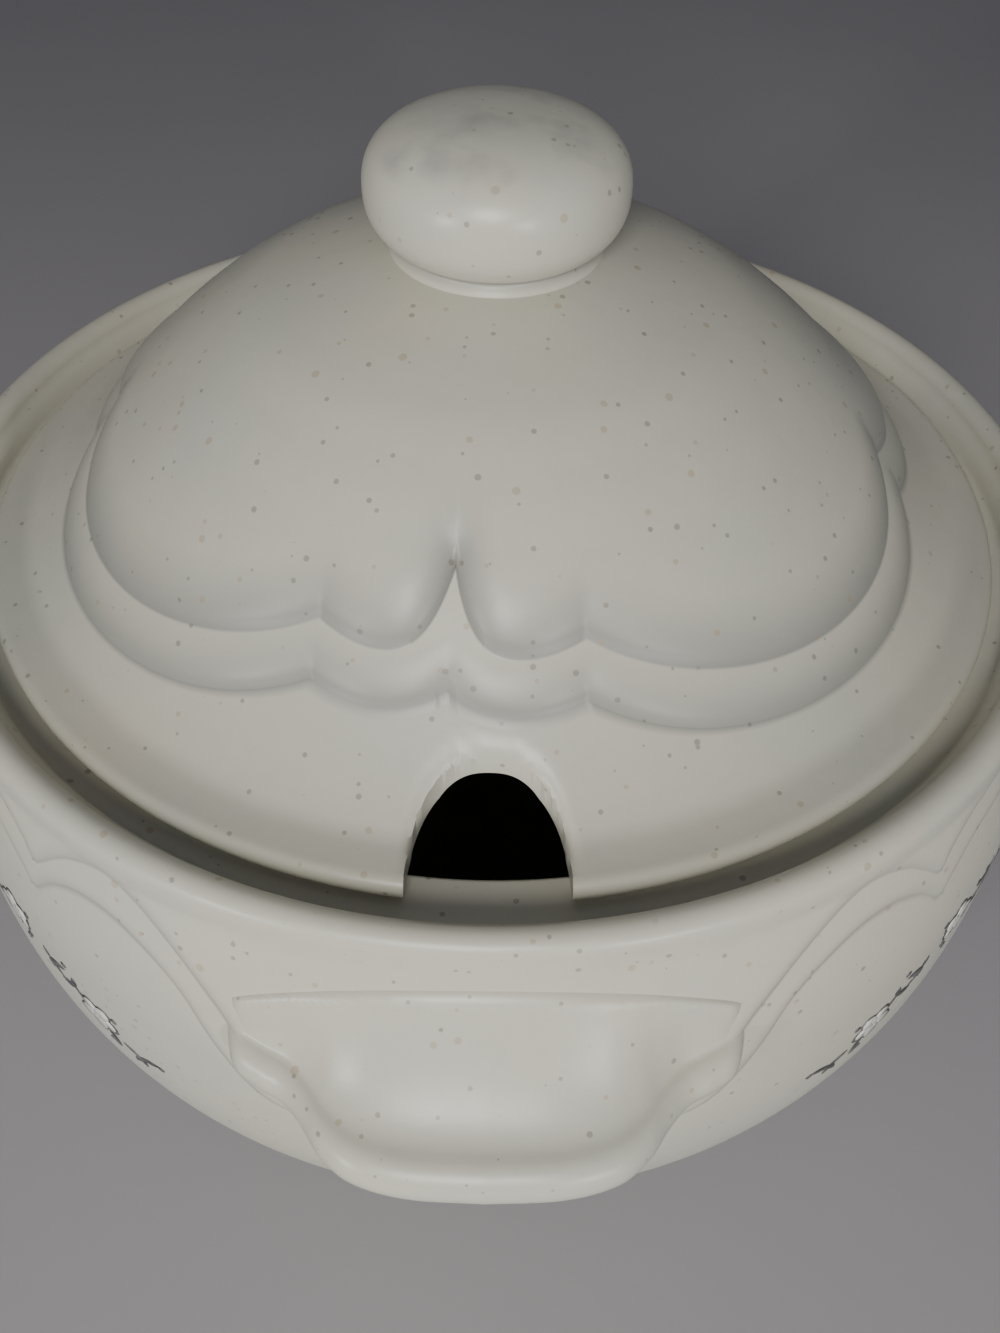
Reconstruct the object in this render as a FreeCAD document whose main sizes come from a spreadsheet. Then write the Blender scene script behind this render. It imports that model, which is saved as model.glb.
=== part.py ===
import FreeCAD, Part
import math
import os
import Sketcher

# A lidded stoneware soup tureen, in millimetres. The origin is the middle of the foot on the table,
# +Z is up, the two lug handles lie along Y, and the ladle notch of the lid faces -Y.

doc = FreeCAD.newDocument("soup_tureen")
sheet = doc.addObject("Spreadsheet::Sheet", "Sizes")


class Size:
    """A number together with the spreadsheet expression that it comes from."""

    def __init__(self, value, text):
        self.value = value
        self.text = text

    def __add__(self, other):
        other = as_size(other)
        return Size(self.value + other.value, f"({self.text} + {other.text})")

    def __sub__(self, other):
        other = as_size(other)
        return Size(self.value - other.value, f"({self.text} - {other.text})")

    def __mul__(self, other):
        other = as_size(other)
        return Size(self.value * other.value, f"({self.text} * {other.text})")

    def __truediv__(self, other):
        other = as_size(other)
        return Size(self.value / other.value, f"({self.text} / {other.text})")

    def __neg__(self):
        return Size(-self.value, f"(0 - {self.text})")


def as_size(value):
    if isinstance(value, Size):
        return value
    return Size(float(value), f"({value})")


def along_x(radius, degrees):
    turn = as_size(degrees)
    return radius * Size(math.sin(math.radians(turn.value)), f"sin({turn.text})")


def along_y(radius, degrees):
    turn = as_size(degrees)
    return radius * Size(-math.cos(math.radians(turn.value)), f"(0 - cos({turn.text}))")


row = 0


def size(alias, value, meaning):
    """Writes one driving dimension to the sheet and returns it."""
    global row
    row += 1
    sheet.set(f"A{row}", meaning)
    sheet.set(f"B{row}", str(value))
    sheet.setAlias(f"B{row}", alias)
    return Size(float(value), f"Sizes.{alias}")


# Bowl
rim_height = size("rim_height", 132.6, "top of the bowl's lip above the table")
rim_radius = size("rim_radius", 118.0, "outside of the lip")
lip_thickness = size("lip_thickness", 6.2, "thickness of the rounded lip")
wall = size("wall", 6.0, "thickness of the bowl's wall")
belly_swell = size("belly_swell", 4.8, "how far the smooth wall swells out beyond the lip")
belly_share = size("belly_share", 0.6486, "height of the widest line, as a share of the rim's height")
belly_curve = size("belly_curve", 0.0963, "bulge of the wall below the widest line, as a share of its height")
upper_curve = size("upper_curve", 0.0557, "bulge of the wall above the widest line, as a share of its height")
haunch_inset = size("haunch_inset", 10.3, "how far the wall comes in before it turns under")
haunch_share = size("haunch_share", 0.2413, "height where it turns under, as a share of the rim's height")
haunch_curve = size("haunch_curve", 0.1643, "bulge of the turn under, as a share of its height")
foot_share = size("foot_share", 0.678, "outside of the foot ring, as a share of the rim's radius")
foot_width = size("foot_width", 7.0, "width of the foot ring")
foot_height = size("foot_height", 4.0, "height of the foot ring")
floor_thickness = size("floor_thickness", 7.0, "thickness of the bowl's floor")
relief_step = size("relief_step", 1.2, "height of each of the two steps of the moulded band")
collar_height = size("collar_height", 4.0, "height of the plain collar below the lip's round")
band_share = size("band_share", 0.4223, "depth of the band under the handles, as a share of the rim's height")

# Moulded side panels of the bowl, drawn as they are seen from the side
lobe_drop = size("lobe_drop", 8.5, "top of each small lobe of the side panel below the lip")
cusp_drop = size("cusp_drop", 16.5, "cusp between the lobes below the lip")
arch_drop = size("arch_drop", 7.6, "ends of the panel's long arch below the lip")
arch_share = size("arch_share", 0.4072, "ends of the long arch from the panel's middle, as a share of the belly")
ledge_width = size("ledge_width", 8.6, "width of the ledge between the band's two outlines")
panel_share = size("panel_share", 0.9405, "end of the panel from its middle, as a share of the belly's radius")
lobe_share = size("lobe_share", 0.8388, "the small lobe's top from the middle, as the same share")
cusp_share = size("cusp_share", 0.7492, "the cusp from the middle, as the same share")

# Scalloped relief of the lid: radii as shares of the lid's radius, turns from the pattern's front
tall_cusp = size("tall_cusp", 0.5981, "the tall cusp that points at the knob")
small_lobe = size("small_lobe", 0.7075, "the small lobe beside the tall cusp")
small_cusp = size("small_cusp", 0.6925, "the cusp between the two lobes")
large_lobe = size("large_lobe", 0.7887, "the large lobe")
side_cusp = size("side_cusp", 0.7321, "the cusp at the side")
outline_gap = size("outline_gap", 0.0585, "width of the lid's ledge between its two outlines")
tall_cusp_gap = size("tall_cusp_gap", 0.1302, "the same, at the tall cusp")
small_cusp_turn = size("small_cusp_turn", 18.0, "turn of the small cusp, in degrees")
large_lobe_turn = size("large_lobe_turn", 52.0, "turn of the large lobe, in degrees")

# Gallery that holds the lid
gallery_depth = size("gallery_depth", 9.1, "depth of the gallery below the lip")
gallery_thickness = size("gallery_thickness", 5.0, "thickness of that ledge")
gallery_width = size("gallery_width", 10.2, "width of the flat ledge that carries the lid")
lid_play = size("lid_play", 2.4, "play between the lid's edge and the gallery's wall")
lid_set_back = size("lid_set_back", 1.5, "how far the resting lid sits towards the back")

# Lid
lid_margin = size("lid_margin", 12.0, "how far the lid's edge lies inside the outside of the lip")
lid_edge = size("lid_edge", 5.0, "thickness of the lid's rounded edge")
lid_wall = size("lid_wall", 5.6, "thickness of the lid's dome")
brim_share = size("brim_share", 0.8491, "where the brim turns up, as a share of the lid's radius")
brim_rise = size("brim_rise", 11.2, "height of that turn above the gallery")
crown_rise = size("crown_rise", 57.0, "height of the plain dome above the gallery")
ledge_step = size("ledge_step", 2.4, "height of the outer scalloped step")
panel_step = size("panel_step", 3.0, "height of the inner scalloped step")
relief_turn = size("relief_turn", -5.5, "turn of the scalloped relief against the notch, in degrees")

# Ladle notch
notch_width = size("notch_width", 26.0, "width of the ladle notch")
notch_depth = size("notch_depth", 24.0, "depth of the notch from the lid's edge")

# Knob
knob_radius = size("knob_radius", 24.4, "radius of the flattened ball")
knob_thickness = size("knob_thickness", 26.2, "height of the ball")
knob_rise = size("knob_rise", 29.5, "top of the knob above the plain dome")
neck_radius = size("neck_radius", 19.5, "radius of the neck under the ball")
neck_foot = size("neck_foot", 27.0, "radius where the neck meets the dome")

# Lug handles
handle_projection = size("handle_projection", 24.5, "tip of a handle beyond the lip")
handle_root = size("handle_root", 44.0, "half of the handle's width where it joins the bowl")
handle_tongue = size("handle_tongue", 28.0, "half of the width of its tongue")
handle_drop = size("handle_drop", 24.5, "top of the handle's ends below the lip")
handle_arch = size("handle_arch", 13.0, "how far the middle of the handle's root stands above its ends")
handle_thickness = size("handle_thickness", 10.0, "thickness of the handle")
handle_droop = size("handle_droop", 3.5, "how far the handle's tip lies below its root")

doc.recompute()

belly_radius = rim_radius + belly_swell
belly_height = rim_height * belly_share
haunch_radius = belly_radius - haunch_inset
haunch_height = rim_height * haunch_share
foot_radius = rim_radius * foot_share
lid_radius = rim_radius - lid_margin
brim_radius = lid_radius * brim_share
seat = rim_height - gallery_depth
gallery_radius = lid_radius + lid_play
knob_height = seat + crown_rise + knob_rise
handle_reach = rim_radius + handle_projection


def plane_of(body, role):
    for feature in body.Origin.OriginFeatures:
        if feature.Role == role:
            return feature
    raise RuntimeError(f"no {role} in {body.Name}")


def place_end(sketch, curve, end, place):
    """Fixes one end of a curve of the sketch at a place, axis by axis."""
    x, y = place
    for name, value, axis in (("DistanceX", x, -2), ("DistanceY", y, -1)):
        if value.value == 0:
            sketch.addConstraint(Sketcher.Constraint("PointOnObject", curve, end, axis))
        else:
            number = sketch.addConstraint(
                Sketcher.Constraint(name, -1, 1, curve, end, value.value)
            )
            sketch.setExpression(f"Constraints[{number}]", value.text)


CROWN = "crown"


def crown_middle(start, end):
    """A point halfway along the arc that ends level on the Z axis, with its centre on that axis."""
    rise = end.y - start.y
    radius = (start.x ** 2 + rise ** 2) / (2 * rise)
    centre = FreeCAD.Vector(0, end.y - radius, 0)
    middle = (start + end) * 0.5 - centre
    return centre + middle.normalize() * radius


def hold_half_turn(sketch, curve, x, y, run):
    """Keeps the middle of a half circle on the line between its ends."""
    name, value = ("DistanceY", y) if abs(run.x) > abs(run.y) else ("DistanceX", x)
    number = sketch.addConstraint(Sketcher.Constraint(name, -1, 1, curve, 3, value.value))
    sketch.setExpression(f"Constraints[{number}]", value.text)


def closed_sketch(body, name, role, corners):
    """Draws a closed outline. Each corner is (x, y, bulge of the run that follows it).

    A positive bulge bends the run to the right of its direction, and zero leaves it straight. CROWN
    bends it into an arc that ends level on the axis.
    """
    sketch = body.newObject("Sketcher::SketchObject", name)
    sketch.AttachmentSupport = [(plane_of(body, role), "")]
    sketch.MapMode = "FlatFace"
    corners = [(as_size(x), as_size(y), bulge) for x, y, bulge in corners]
    ends = []
    for index, (x, y, bulge) in enumerate(corners):
        next_x, next_y, _ = corners[(index + 1) % len(corners)]
        start = FreeCAD.Vector(x.value, y.value, 0)
        end = FreeCAD.Vector(next_x.value, next_y.value, 0)
        if bulge == CROWN:
            curve = sketch.addGeometry(Part.Arc(start, crown_middle(start, end), end))
            ends.append((curve, 1, 2))
            sketch.addConstraint(Sketcher.Constraint("PointOnObject", curve, 3, -2))
            continue
        bulge = as_size(bulge)
        if bulge.value == 0:
            curve = sketch.addGeometry(Part.LineSegment(start, end))
            ends.append((curve, 1, 2))
            continue
        run = end - start
        side = FreeCAD.Vector(run.y, -run.x, 0).normalize()
        middle = (start + end) * 0.5 + side * bulge.value
        curve = sketch.addGeometry(Part.Arc(start, middle, end))
        first = sketch.getPoint(curve, 1)
        forward = first.distanceToPoint(start) < first.distanceToPoint(end)
        ends.append((curve, 1, 2) if forward else (curve, 2, 1))
        if math.isclose(abs(bulge.value), run.Length / 2):
            hold_half_turn(sketch, curve, x, y, run)
            continue
        across = next_x - x
        up = next_y - y
        radius = (across * across + up * up) / (bulge * 8) + bulge / 2
        if bulge.value < 0:
            radius = -radius
        number = sketch.addConstraint(Sketcher.Constraint("Radius", curve, radius.value))
        sketch.setExpression(f"Constraints[{number}]", radius.text)
    for index, (curve, start, end) in enumerate(ends):
        next_curve, next_start, _ = ends[(index + 1) % len(ends)]
        sketch.addConstraint(Sketcher.Constraint("Coincident", curve, end, next_curve, next_start))
        place_end(sketch, curve, start, corners[index][:2])
    return sketch


def turned_body(name, corners):
    """A body made by turning a half section about the Z axis."""
    body = doc.addObject("PartDesign::Body", name)
    sketch = closed_sketch(body, f"{name}_section", "XZ_Plane", corners)
    turned = body.newObject("PartDesign::Revolution", f"{name}_turned")
    turned.Profile = sketch
    turned.ReferenceAxis = (sketch, ["V_Axis"])
    turned.Angle = 360
    doc.recompute()
    return body


def padded_body(name, role, corners, length, both_ways=False):
    """A body made by padding an outline."""
    body = doc.addObject("PartDesign::Body", name)
    sketch = closed_sketch(body, f"{name}_outline", role, corners)
    pad = body.newObject("PartDesign::Pad", f"{name}_pad")
    pad.Profile = sketch
    pad.setExpression("Length", length.text)
    pad.Midplane = both_ways
    doc.recompute()
    return body


def cut(name, base, tool):
    result = doc.addObject("Part::Cut", name)
    result.Base = base
    result.Tool = tool
    doc.recompute()
    return result


def fuse(name, shapes):
    result = doc.addObject("Part::MultiFuse", name)
    result.Shapes = shapes
    doc.recompute()
    return result


def common(name, base, tool):
    result = doc.addObject("Part::Common", name)
    result.Base = base
    result.Tool = tool
    doc.recompute()
    return result


# ---- The bowl: one piece of stoneware with a foot ring, a rounded lip and a gallery ----

half_lip = lip_thickness / 2
lip_middle = rim_height - half_lip
lip_inside = rim_radius - lip_thickness
foot_inside = foot_radius - foot_width
collar_foot = lip_middle - collar_height
collar_inset = relief_step * 2
haunch_bulge = (haunch_height - foot_height) * haunch_curve
belly_bulge = (belly_height - haunch_height) * belly_curve
upper_bulge = (collar_foot - belly_height) * upper_curve

bowl_stock = turned_body("bowl_stock", [
    (0, foot_height, 0),
    (foot_inside, foot_height, 0),
    (foot_inside, 0, 0),
    (foot_radius, 0, 0),
    (foot_radius, foot_height, haunch_bulge),
    (haunch_radius, haunch_height, belly_bulge),
    (belly_radius, belly_height, upper_bulge),
    (rim_radius - collar_inset, collar_foot, 0),
    (rim_radius, collar_foot, 0),
    (rim_radius, lip_middle, half_lip),
    (lip_inside, lip_middle, 0),
    (0, lip_middle, 0),
])

# The moulded band hangs from the lip in two steps. Each step is a ring, cut away where the lobed
# side panels are, and its lower edge passes under the handles.
band_foot = rim_height - rim_height * band_share
panel_reach = belly_radius * panel_share
lobe_reach = belly_radius * lobe_share
cusp_reach = belly_radius * cusp_share
arch_reach = belly_radius * arch_share
FLANK_LEAN = 3
FOOT_BULGE = 1.5
FLANK_BULGE = 2.5
LOBE_BULGE = 1.6
ARM_BULGE = 5.0
ARCH_BULGE = 1.2


def band_layer(name, steps, inset):
    thickness = relief_step * steps
    foot = band_foot + ledge_width - inset
    ring = turned_body(f"{name}_ring", [
        (lip_inside, foot, 0),
        (belly_radius + thickness, foot, 0),
        (belly_radius + thickness, belly_height, upper_bulge),
        (rim_radius - collar_inset + thickness, collar_foot, 0),
        (lip_inside, collar_foot, 0),
    ])
    peak = rim_height - lobe_drop - inset
    cusp = rim_height - cusp_drop - inset
    arch = rim_height - arch_drop - inset
    flank = (peak + foot) / 2
    outside = belly_radius + 20
    panel = padded_body(f"{name}_panel", "YZ_Plane", [
        (-outside, foot - 1, 0),
        (outside, foot - 1, 0),
        (outside, foot, 0),
        (panel_reach, foot, FOOT_BULGE),
        (panel_reach - FLANK_LEAN, flank, FLANK_BULGE),
        (lobe_reach, peak, LOBE_BULGE),
        (cusp_reach, cusp, ARM_BULGE),
        (arch_reach, arch, ARCH_BULGE),
        (-arch_reach, arch, ARM_BULGE),
        (-cusp_reach, cusp, LOBE_BULGE),
        (-lobe_reach, peak, FLANK_BULGE),
        (-(panel_reach - FLANK_LEAN), flank, FOOT_BULGE),
        (-panel_reach, foot, 0),
        (-outside, foot, 0),
    ], belly_radius * 3, both_ways=True)
    return cut(f"{name}_layer", ring, panel)


lower_layer = band_layer("lower_band", 1, ledge_width)
upper_layer = band_layer("upper_band", 2, as_size(0))
bowl_outside = fuse("bowl_outside", [bowl_stock, lower_layer, upper_layer])

ledge_inside = gallery_radius - gallery_width
FLOOR_BULGE = 3.0
GALLERY_SLOPE = 0.6
inner_haunch = haunch_radius - wall
inner_belly = belly_radius - wall
ledge_foot = seat - gallery_thickness
gallery_foot = ledge_foot - (inner_belly - ledge_inside) * GALLERY_SLOPE

bowl_cavity = turned_body("bowl_cavity", [
    (0, floor_thickness, 0),
    (foot_inside, floor_thickness + 1, FLOOR_BULGE),
    (inner_haunch, haunch_height + wall / 2, belly_bulge),
    (inner_belly, belly_height, 0),
    (inner_belly, gallery_foot, 0),
    (ledge_inside, ledge_foot, 0),
    (ledge_inside, seat, 0),
    (gallery_radius, seat, 0),
    (lip_inside, lip_middle, 0),
    (lip_inside, rim_height + 1, 0),
    (0, rim_height + 1, 0),
])
tureen_bowl = cut("tureen_bowl", bowl_outside, bowl_cavity)


# ---- The two lug handles: pressed from clay and luted to the bowl's band ----

half_thickness = handle_thickness / 2
ROOT_DEPTH = 12
CREST_OUT = 2
SCOOP_HOLLOW = -2.0

# The outline of a lug, from its root to its tip: short of the tongue's edge, short of the reach
WING_SHORT = 30.5
SHOULDER_WIDE = 3.5
SHOULDER_SHORT = 14
TONGUE_NARROW = 2.5
TONGUE_SHORT = 7
TIP_NARROW = 10
TIP_SHORT = 2

# The handles seat on the full thickness of the band.
handle_seat = turned_body("handle_seat", [
    (0, belly_height, 0),
    (belly_radius + collar_inset, belly_height, upper_bulge),
    (rim_radius, collar_foot, 0),
    (0, collar_foot, 0),
])


def lug_handle(name, turn):
    inner = lip_inside - ROOT_DEPTH
    half = [
        (handle_root, handle_reach - WING_SHORT, 1.0),
        (handle_tongue + SHOULDER_WIDE, handle_reach - SHOULDER_SHORT, -1.0),
        (handle_tongue - TONGUE_NARROW, handle_reach - TONGUE_SHORT, 1.5),
        (handle_tongue - TIP_NARROW, handle_reach - TIP_SHORT, 2.0),
    ]
    bulges = [0] + [corner[2] for corner in half]
    left = [(-x, -y, bulge) for x, y, bulge in half]
    right = [
        (x, -y, bulge)
        for (x, y, _), bulge in zip(reversed(half), reversed(bulges[:-1]))
    ]
    plan = padded_body(f"{name}_plan", "XY_Plane",
                       [(-handle_root, -inner, 0)] + left + right + [(handle_root, -inner, 0)],
                       rim_height)
    top = rim_height - handle_drop
    crest = top + handle_arch
    lip = half_thickness - handle_reach
    side = padded_body(f"{name}_side", "YZ_Plane", [
        (-inner, top - handle_droop - handle_thickness, 0),
        (-inner, crest, 0),
        (-(rim_radius + CREST_OUT), crest, SCOOP_HOLLOW),
        (lip, top - handle_droop, half_thickness),
        (lip, top - handle_droop - handle_thickness, 0),
    ], handle_root * 3, both_ways=True)
    arch = padded_body(f"{name}_arch", "XZ_Plane", [
        (-handle_root * 1.1, 0, 0),
        (handle_root * 1.1, 0, 0),
        (handle_root * 1.1, top - 1, handle_arch + 1),
        (-handle_root * 1.1, top - 1, 0),
    ], handle_reach * 3, both_ways=True)
    for body in (plan, side, arch):
        body.Placement.Rotation = FreeCAD.Rotation(FreeCAD.Vector(0, 0, 1), turn)
    scooped = common(f"{name}_scooped", plan, side)
    blank = common(f"{name}_blank", scooped, arch)
    return cut(name, blank, handle_seat)


handle_front = lug_handle("handle_front", 0)
handle_back = lug_handle("handle_back", 180)


# ---- The lid: a dome with a brim, two scalloped steps and a notch for the ladle ----

BRIM_HOLLOW = -0.8
half_edge = lid_edge / 2
edge_middle = lid_radius - half_edge
dome_foot = seat + brim_rise
dome_top = seat + crown_rise

lid_stock = turned_body("lid_stock", [
    (0, seat, 0),
    (edge_middle, seat, half_edge),
    (edge_middle, seat + lid_edge, BRIM_HOLLOW),
    (brim_radius, dome_foot, CROWN),
    (0, dome_top, 0),
])


SCALLOP_BULGES = [1.5, 1.5, 2.0, 3.0]


def scallop(name, gap, tall_gap, step):
    """One raised layer of the dome, inside the scalloped outline that is seen from above."""
    quarter = [
        (tall_cusp + tall_gap, as_size(0)),
        (small_lobe + gap, small_cusp_turn / 2),
        (small_cusp + gap, small_cusp_turn),
        (large_lobe + gap, large_lobe_turn),
        (side_cusp + gap, as_size(90)),
    ]
    corners = []
    for start, direction in ((0, 1), (180, -1), (180, 1), (360, -1)):
        run = quarter[:-1] if direction == 1 else quarter[:0:-1]
        bulges = SCALLOP_BULGES if direction == 1 else SCALLOP_BULGES[::-1]
        for (share, turn), bulge in zip(run, bulges):
            angle = as_size(start) + turn * direction
            radius = lid_radius * share
            corners.append((along_x(radius, angle), along_y(radius, angle), bulge))
    outline = padded_body(f"{name}_scallop", "XY_Plane", corners, rim_height * 2)
    outline.setExpression("Placement.Rotation.Angle", relief_turn.text)
    dome = turned_body(f"{name}_dome", [
        (0, seat, 0),
        (brim_radius + step, seat, 0),
        (brim_radius + step, dome_foot, CROWN),
        (0, dome_top + step, 0),
    ])
    return dome, common(f"{name}_layer", dome, outline)


ledge_dome, ledge_layer = scallop("ledge", outline_gap, tall_cusp_gap, ledge_step)
panel_dome, panel_layer = scallop("panel", as_size(0), as_size(0), ledge_step + panel_step)
lid_outside = fuse("lid_outside", [lid_stock, ledge_layer, panel_layer])

lid_cavity = turned_body("lid_cavity", [
    (0, seat - 1, 0),
    (ledge_inside - 1, seat - 1, 0),
    (ledge_inside - 1, seat, 0),
    (brim_radius - 2, dome_foot - lid_wall, CROWN),
    (0, dome_top - lid_wall, 0),
])
lid_shell = cut("lid_shell", lid_outside, lid_cavity)

half_notch = notch_width / 2
notch_spring = lid_radius - notch_depth + half_notch
notch_tool = padded_body("notch_tool", "XY_Plane", [
    (-half_notch, -(lid_radius + 5), 0),
    (half_notch, -(lid_radius + 5), 0),
    (half_notch, -notch_spring, half_notch),
    (-half_notch, -notch_spring, 0),
], rim_height * 2)
lid = cut("lid", lid_shell, notch_tool)
lid.setExpression("Placement.Base.y", lid_set_back.text)


# ---- The knob: a flattened ball on a short flared neck, luted to the crown ----

BALL_CROWN = 1.6
ROUND_SHARE = 0.43
CREASE_SHARE = 1.85
BALL_BULGE = 0.72
NECK_HOLLOW = -2.2
ball_top = knob_height - BALL_CROWN
ball_round = (knob_thickness - BALL_CROWN) * ROUND_SHARE
crease_height = ball_top - ball_round * CREASE_SHARE
knob_foot = dome_top - wall

knob_blank = turned_body("knob_blank", [
    (0, knob_foot, 0),
    (neck_foot, knob_foot, 0),
    (neck_foot, dome_top, NECK_HOLLOW),
    (neck_radius, crease_height, ball_round * BALL_BULGE),
    (knob_radius - ball_round, ball_top, CROWN),
    (0, knob_height, 0),
])
lid_knob = cut("lid_knob", knob_blank, panel_dome)
lid_knob.setExpression("Placement.Base.y", lid_set_back.text)
doc.recompute()


# ---- Check everything, then write one STEP file for each piece ----

PIECES = [tureen_bowl, handle_front, handle_back, lid, lid_knob]

for thing in doc.Objects:
    bad = [state for state in thing.State if state in ("Invalid", "Error")]
    if bad:
        raise RuntimeError(f"{thing.Name} is {bad}")
for piece in PIECES:
    piece.Label = piece.Name
    if piece.Shape.isNull() or not piece.Shape.isValid():
        raise RuntimeError(f"{piece.Name} has no sound shape")
    if len(piece.Shape.Solids) != 1:
        raise RuntimeError(f"{piece.Name} is {len(piece.Shape.Solids)} solids")

os.makedirs("parts", exist_ok=True)
for piece in PIECES:
    piece.Shape.exportStep(f"parts/{piece.Label}.step")
    box = piece.Shape.BoundBox
    print(piece.Label, f"{piece.Shape.Volume:.0f} mm3",
          f"x {box.XMin:.1f} {box.XMax:.1f} y {box.YMin:.1f} {box.YMax:.1f} z {box.ZMin:.1f} {box.ZMax:.1f}")
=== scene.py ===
import math

import bmesh
import bpy
from mathutils import Matrix, Vector
from mathutils.kdtree import KDTree


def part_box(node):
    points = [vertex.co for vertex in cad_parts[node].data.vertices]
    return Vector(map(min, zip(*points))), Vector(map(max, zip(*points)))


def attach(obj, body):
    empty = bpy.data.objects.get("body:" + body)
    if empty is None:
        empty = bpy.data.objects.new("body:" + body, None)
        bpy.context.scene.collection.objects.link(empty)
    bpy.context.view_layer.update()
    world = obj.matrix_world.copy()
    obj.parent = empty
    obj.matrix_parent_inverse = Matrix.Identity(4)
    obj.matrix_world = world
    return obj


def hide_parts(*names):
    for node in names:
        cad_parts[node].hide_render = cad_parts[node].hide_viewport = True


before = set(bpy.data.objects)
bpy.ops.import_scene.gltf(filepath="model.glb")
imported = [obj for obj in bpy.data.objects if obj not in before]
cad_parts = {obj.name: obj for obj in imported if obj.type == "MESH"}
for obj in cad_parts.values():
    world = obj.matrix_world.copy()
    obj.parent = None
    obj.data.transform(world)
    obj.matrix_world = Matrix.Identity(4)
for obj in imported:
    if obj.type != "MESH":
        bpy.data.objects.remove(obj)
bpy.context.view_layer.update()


# ---- The bowl ----
# A round, deep bowl of pale stoneware, cast in one piece with a foot ring, a rolled lip and a gallery
# that carries the lid. Its mould leaves a band in low relief below the lip, which steps down twice to
# a lobed panel on each side. Everything but the foot's underside is glazed.
MM = 0.001
RIM_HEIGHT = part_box("tureen_bowl")[1].z / MM
RIM_RADIUS = 118.0
LIP = 6.2
LIP_MIDDLE = RIM_HEIGHT - LIP / 2
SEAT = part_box("lid")[0].z / MM
GALLERY_RADIUS = 108.4
GALLERY_INSIDE = 98.2
FOOT_RADIUS = 80.0
BELLY_RADIUS = 122.8
BELLY_HEIGHT = 86.0
HAUNCH_HEIGHT = 32.0
BELLY_REACH = 106.0
BELLY_POWER = 2.5
COLLAR_RADIUS = 115.6
COLLAR_FOOT = 125.5
RELIEF_FOOT = 74.0
RELIEF_STEP = 1.25
RELIEF_ROUND = 3.2
ROWS_BELOW, ROWS_BETWEEN, ROWS_ABOVE = 24, 10, 16


def run_on(outline, end, bulge=0.0, pieces=1):
    """Carries an outline on to its next corner; a positive bulge bends the run to its right."""
    start_x, start_y = outline[-1]
    across, up = end[0] - start_x, end[1] - start_y
    chord = math.hypot(across, up)
    half_turn = 2 * math.atan(2 * abs(bulge) / chord)
    for piece in range(1, pieces + 1):
        share, out = piece / pieces, 0.0
        if bulge:
            turn = half_turn * (2 * share - 1)
            radius = chord / 2 / math.sin(half_turn)
            share = 0.5 + math.sin(turn) / math.sin(half_turn) / 2
            out = math.copysign(radius * (math.cos(turn) - math.cos(half_turn)), bulge)
        outline.append((start_x + across * share + up / chord * out,
                        start_y + up * share - across / chord * out))


def flow(points, place):
    """The height of a smooth line through a few given points, at a place along it."""
    index = max(i for i in range(len(points) - 1) if i == 0 or points[i][0] <= place)
    (x0, y0), (x1, y1) = points[index], points[index + 1]
    before = points[index - 1] if index else (2 * x0 - x1, 2 * y0 - y1)
    after = points[index + 2] if index + 2 < len(points) else (2 * x1 - x0, 2 * y1 - y0)
    span = x1 - x0
    start_slope = (y1 - before[1]) / (x1 - before[0]) * span
    end_slope = (after[1] - y0) / (after[0] - x0) * span
    t = (place - x0) / span
    return (y0 * (1 + 2 * t) * (1 - t) ** 2 + y1 * t * t * (3 - 2 * t)
            + start_slope * t * (1 - t) ** 2 - end_slope * t * t * (1 - t))


def wall_radius(height):
    """The bowl's plain outer wall above the haunch."""
    if height < BELLY_HEIGHT:
        drop = (BELLY_HEIGHT - height) / BELLY_REACH
        return BELLY_RADIUS * (1 - drop ** BELLY_POWER) ** (1 / BELLY_POWER)
    rise = min(1.0, (height - BELLY_HEIGHT) / (COLLAR_FOOT - BELLY_HEIGHT))
    return BELLY_RADIUS + 1.6 * rise - (BELLY_RADIUS + 1.6 - COLLAR_RADIUS) * rise ** 2


# The band's two outlines, as (degrees from the middle of a handle, height), up to the lobe's cusp
# and on from there to the middle of the side panel.
LOWER_LOBE = [(0, 78), (9, 78), (14, 78.2), (17.5, 79.6), (20, 84), (22.5, 94.5), (25.5, 106.5),
              (30.5, 114), (35, 115.6), (39, 113), (42, 107.4)]
LOWER_ARCH = [(42, 107.4), (44, 111.4), (48, 115.4), (58, 118), (72, 118.8), (90, 119)]
UPPER_LOBE = [(0, 86.5), (9, 86.5), (13.5, 87), (16.5, 90), (19, 98), (21.5, 108), (26.5, 118.8),
              (32, 124.4), (37, 122.4), (41, 116)]
UPPER_ARCH = [(41, 116), (43, 119.6), (47, 122.8), (58, 124.9), (90, 125.8)]


def line_height(lobe, arch, degrees):
    return flow(lobe, degrees) if degrees < arch[0][0] else flow(arch, degrees)


def line_tree(lobe, arch):
    """The line's points on the unrolled wall, for finding how far a place is from it."""
    count = 1800
    tree = KDTree(count + 1)
    for step in range(count + 1):
        degrees = 90.0 * step / count
        place = (math.radians(degrees) * BELLY_RADIUS, line_height(lobe, arch, degrees), 0)
        tree.insert(place, step)
    tree.balance()
    return tree


def rolled(share):
    """A step that starts steeply in a crease and rolls over into a shoulder."""
    share = max(0.0, min(1.0, share))
    return math.sqrt(1 - (1 - share) ** 2)


def roll_off_shade(rows_in, away, reach):
    """The painted shade on a roll-off: how much greyer it is, strongest beside the crease."""
    return max(0.0, 1 - away / reach / 1.15) ** 1.3 if rows_in >= 0 else 0.0


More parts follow.
